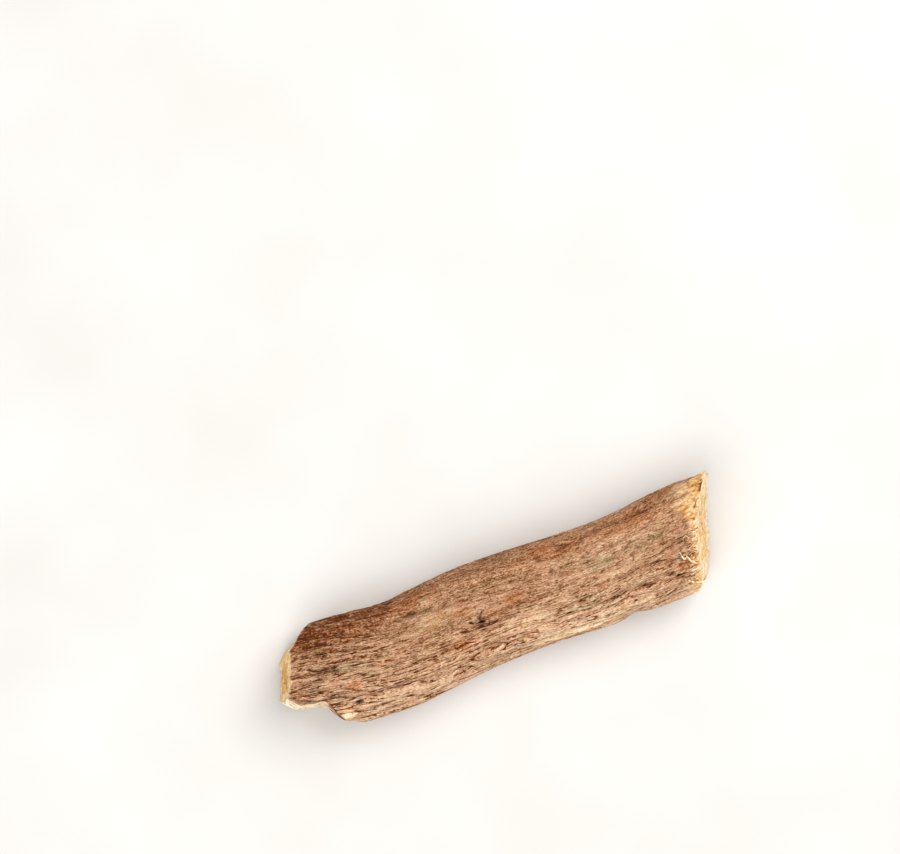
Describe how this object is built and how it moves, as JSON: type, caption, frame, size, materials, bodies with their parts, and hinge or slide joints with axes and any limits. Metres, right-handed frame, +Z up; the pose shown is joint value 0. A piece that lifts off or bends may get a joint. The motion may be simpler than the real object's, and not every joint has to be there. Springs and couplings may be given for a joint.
{
  "type": "licorice root",
  "caption": "Cut piece of dried licorice root: thick ridged brown bark with a knot, two slanting sawn ends and a torn corner, lying on its side.",
  "frame": {"origin": "middle of the root's box in plan, at the level of the surface that it rests on", "axes": "+X along the root from the plain cut end, which has the torn corner, to the frayed cut end; +Z up; +Y to the side of the rounded corner"},
  "size_m": [0.0803, 0.0201, 0.0148],
  "materials": {
    "root_bark": "dry, matt, ridged and fibrous grey-brown bark",
    "cut_wood": "pale yellow sawn and torn wood fibres"
  },
  "bodies": {
    "root": {"licorice_root": "root_bark"}
  },
  "joints": []
}
